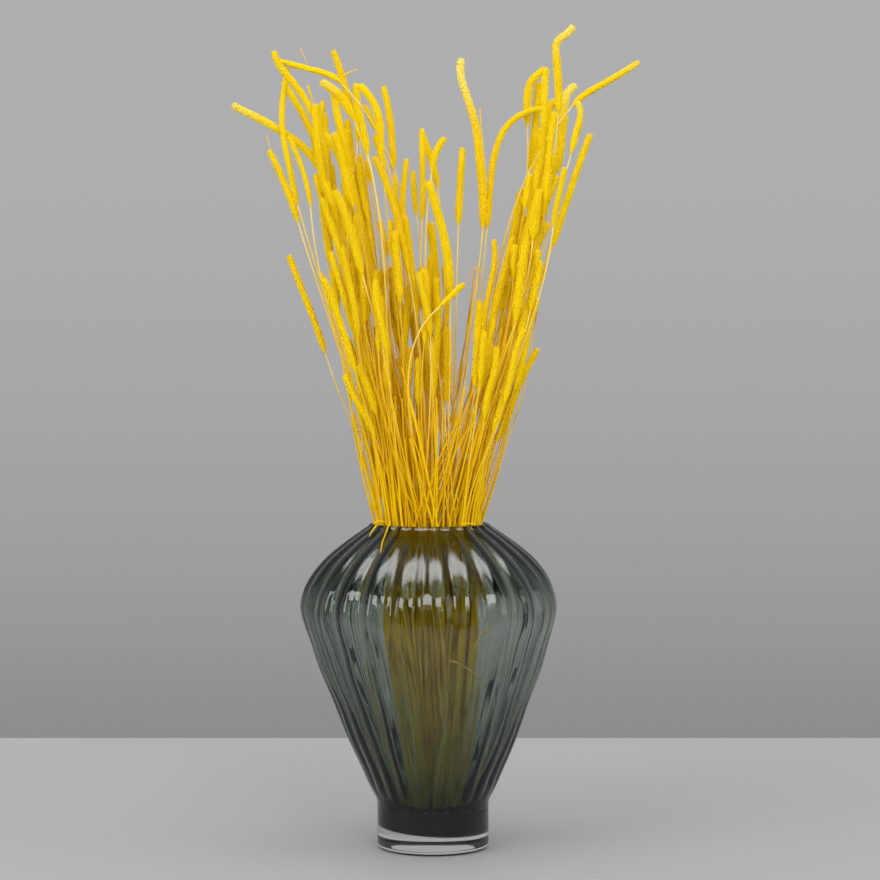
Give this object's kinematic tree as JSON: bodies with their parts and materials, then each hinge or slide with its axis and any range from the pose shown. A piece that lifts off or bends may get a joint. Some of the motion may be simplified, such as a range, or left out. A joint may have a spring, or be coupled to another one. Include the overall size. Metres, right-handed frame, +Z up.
{
  "type": "dried grass bouquet in vase",
  "caption": "Bunch of dried timothy grass standing in a wide-shouldered ribbed vase of smoked glass on a clear glass foot.",
  "frame": {"origin": "centre of the underside of the vase's foot", "axes": "+Z up along the vase; -Y towards the viewer's side; +X to the viewer's right"},
  "size_m": [0.3381, 0.2134, 0.684],
  "materials": {
    "smoked_glass": "clear grey-green glass with soft vertical ribs, darker where it is thick",
    "clear_glass": "clear polished glass",
    "dried_grass": "matt yellow straw with a fine bristly surface on the spikes"
  },
  "bodies": {
    "root": {"inner_stalks_left": "dried_grass", "inner_stalks_middle": "dried_grass", "inner_stalks_right": "dried_grass", "stalk_left_01": "dried_grass", "stalk_left_02": "dried_grass", "stalk_left_03": "dried_grass", "stalk_left_04": "dried_grass", "stalk_left_05": "dried_grass", "stalk_left_06": "dried_grass", "stalk_left_07": "dried_grass", "stalk_left_08": "dried_grass", "stalk_left_09": "dried_grass", "stalk_left_10": "dried_grass", "stalk_left_11": "dried_grass", "stalk_left_12": "dried_grass", "stalk_left_13": "dried_grass", "stalk_left_14": "dried_grass", "stalk_left_15": "dried_grass", "stalk_left_16": "dried_grass", "stalk_left_17": "dried_grass", "stalk_left_18": "dried_grass", "stalk_left_19": "dried_grass", "stalk_left_20": "dried_grass", "stalk_left_21": "dried_grass", "stalk_left_22": "dried_grass", "stalk_left_23": "dried_grass", "stalk_middle_01": "dried_grass", "stalk_middle_02": "dried_grass", "stalk_middle_03": "dried_grass", "stalk_middle_04": "dried_grass", "stalk_middle_05": "dried_grass", "stalk_middle_06": "dried_grass", "stalk_middle_07": "dried_grass", "stalk_middle_08": "dried_grass", "stalk_middle_09": "dried_grass", "stalk_middle_10": "dried_grass", "stalk_middle_11": "dried_grass", "stalk_middle_12": "dried_grass", "stalk_middle_13": "dried_grass", "stalk_right_01": "dried_grass", "stalk_right_02": "dried_grass", "stalk_right_03": "dried_grass", "stalk_right_04": "dried_grass", "stalk_right_05": "dried_grass", "stalk_right_06": "dried_grass", "stalk_right_07": "dried_grass", "stalk_right_08": "dried_grass", "stalk_right_09": "dried_grass", "stalk_right_10": "dried_grass", "stalk_right_11": "dried_grass", "stalk_right_12": "dried_grass", "stalk_right_13": "dried_grass", "stalk_right_14": "dried_grass", "stalk_right_15": "dried_grass", "stalk_right_16": "dried_grass", "stalk_right_17": "dried_grass", "stalk_right_18": "dried_grass", "stalk_right_19": "dried_grass", "vase_bowl": "smoked_glass", "vase_foot": "clear_glass"}
  },
  "joints": []
}
